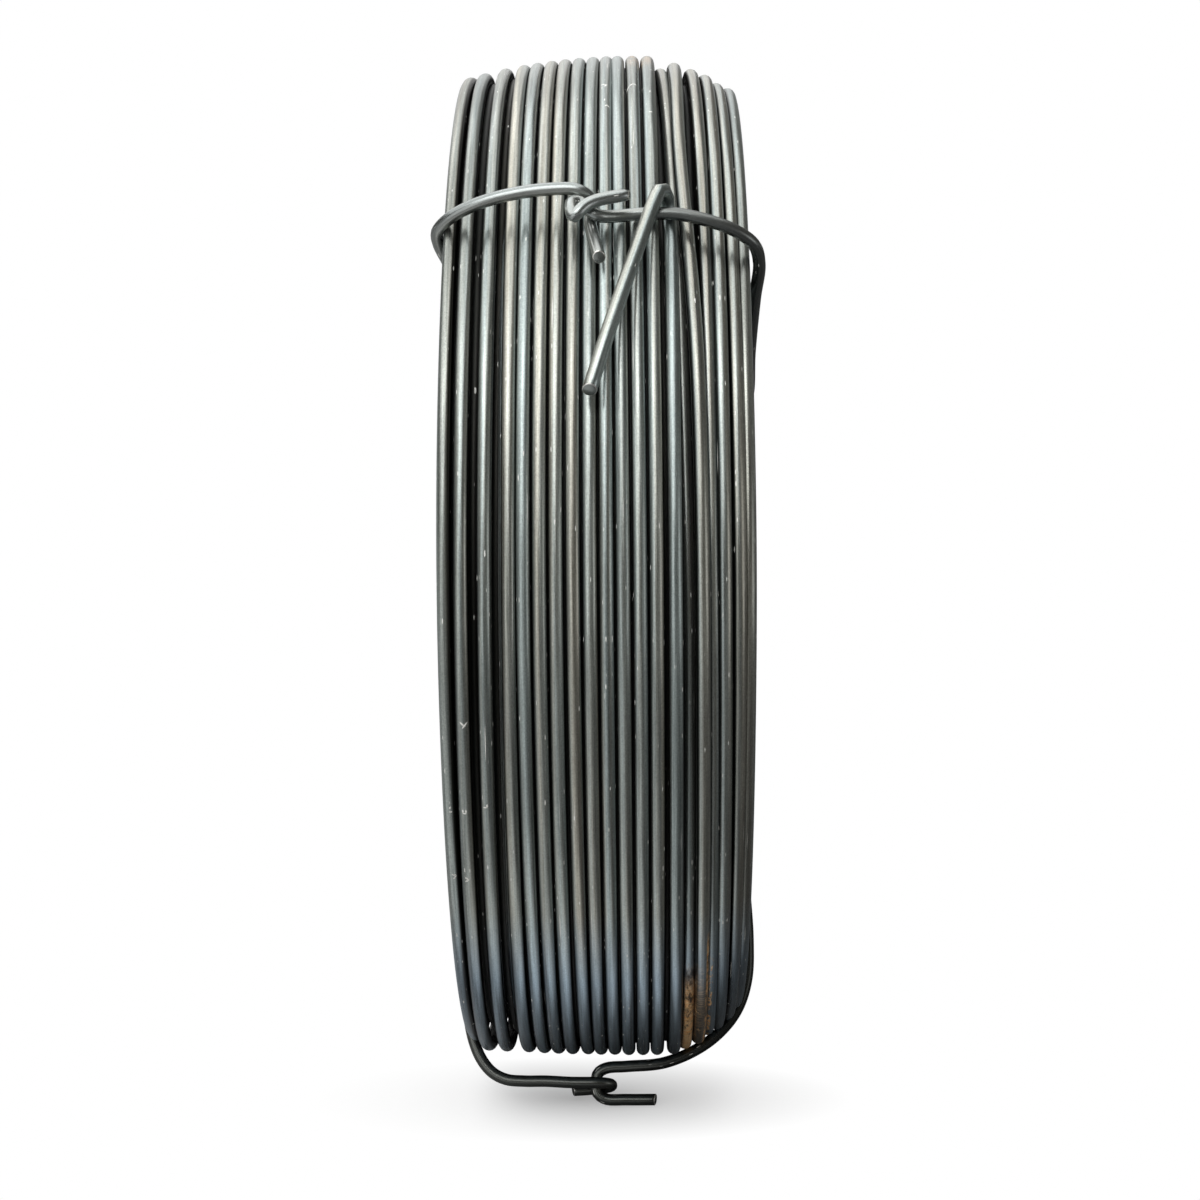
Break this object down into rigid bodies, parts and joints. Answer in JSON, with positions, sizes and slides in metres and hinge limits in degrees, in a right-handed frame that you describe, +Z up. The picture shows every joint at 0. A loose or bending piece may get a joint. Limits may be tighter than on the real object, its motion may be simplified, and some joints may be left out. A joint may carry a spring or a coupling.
{
  "type": "coil of tie wire",
  "caption": "Coil of dark annealed tie wire, close-wound in layers round an open bore, bound with thin wire ties and with its free end hooked over one tie.",
  "frame": {"origin": "centre of the coil's bore, on its axis, midway across the coil's width", "axes": "+X along the coil's axis, -Y towards the viewer of the picture, +Z up; the coil stands on its rim"},
  "size_m": [0.0362, 0.1278, 0.122],
  "materials": {
    "annealed_wire": "dark annealed scale, satin, with drawing marks along the wire and a patch of rust",
    "tie_wire": "dark annealed scale, satin"
  },
  "bodies": {
    "root": {"wire_coil": "annealed_wire", "front_tie": "tie_wire", "bottom_tie": "tie_wire", "back_tie": "tie_wire"}
  },
  "joints": []
}
